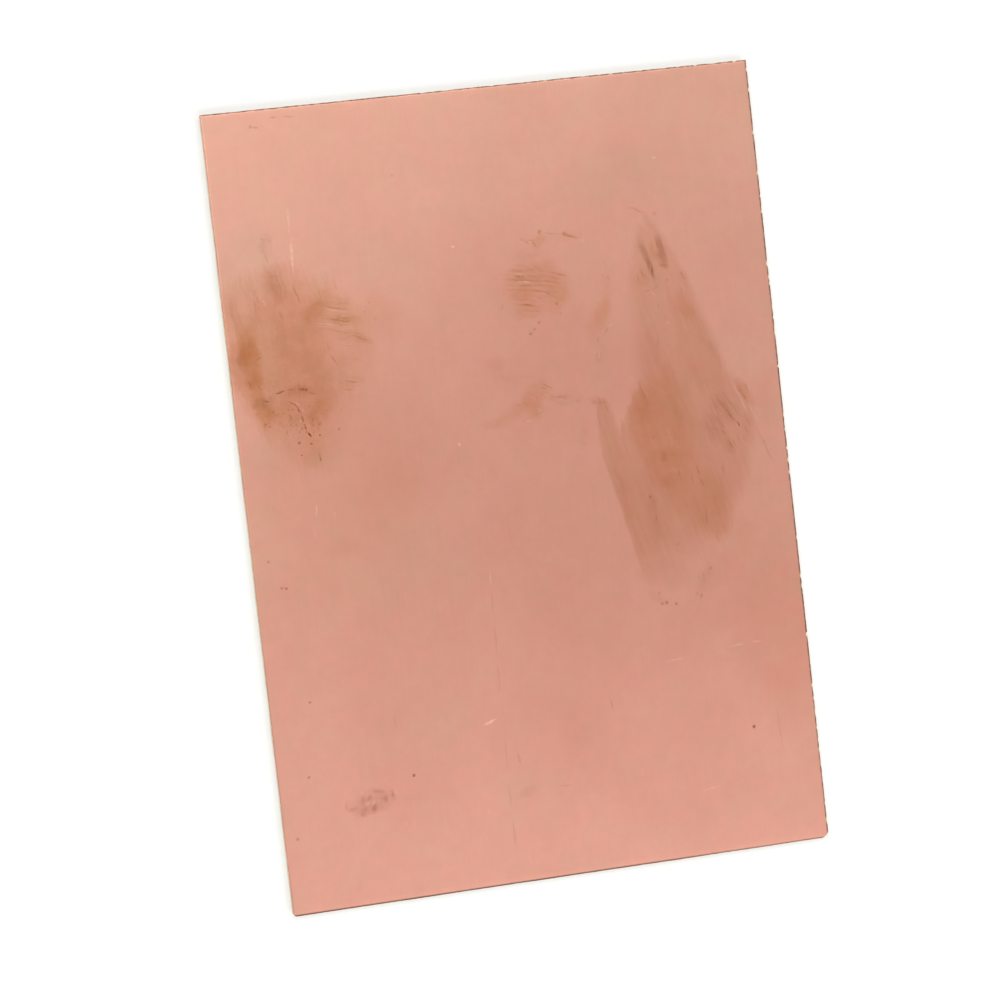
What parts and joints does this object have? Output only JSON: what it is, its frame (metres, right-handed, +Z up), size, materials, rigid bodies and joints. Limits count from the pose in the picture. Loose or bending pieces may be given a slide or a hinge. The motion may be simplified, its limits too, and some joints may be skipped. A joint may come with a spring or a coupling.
{
  "type": "copper clad board",
  "caption": "Flat rectangular blank of glass-epoxy laminate with copper foil bonded over its face, ready to be etched or milled into a printed circuit.",
  "frame": {"origin": "middle of the bare back, on the surface that the board lies on", "axes": "+Z up through the thickness, out of the copper face; +Y along the long side; +X along the short side"},
  "size_m": [0.07, 0.1, 0.0015],
  "materials": {
    "laminate": "pale glass-epoxy, satin back, matt sheared edges",
    "copper": "bare satin copper with finger stains and fine scratches"
  },
  "bodies": {
    "root": {"base_laminate": "laminate", "copper_foil": "copper"}
  },
  "joints": []
}
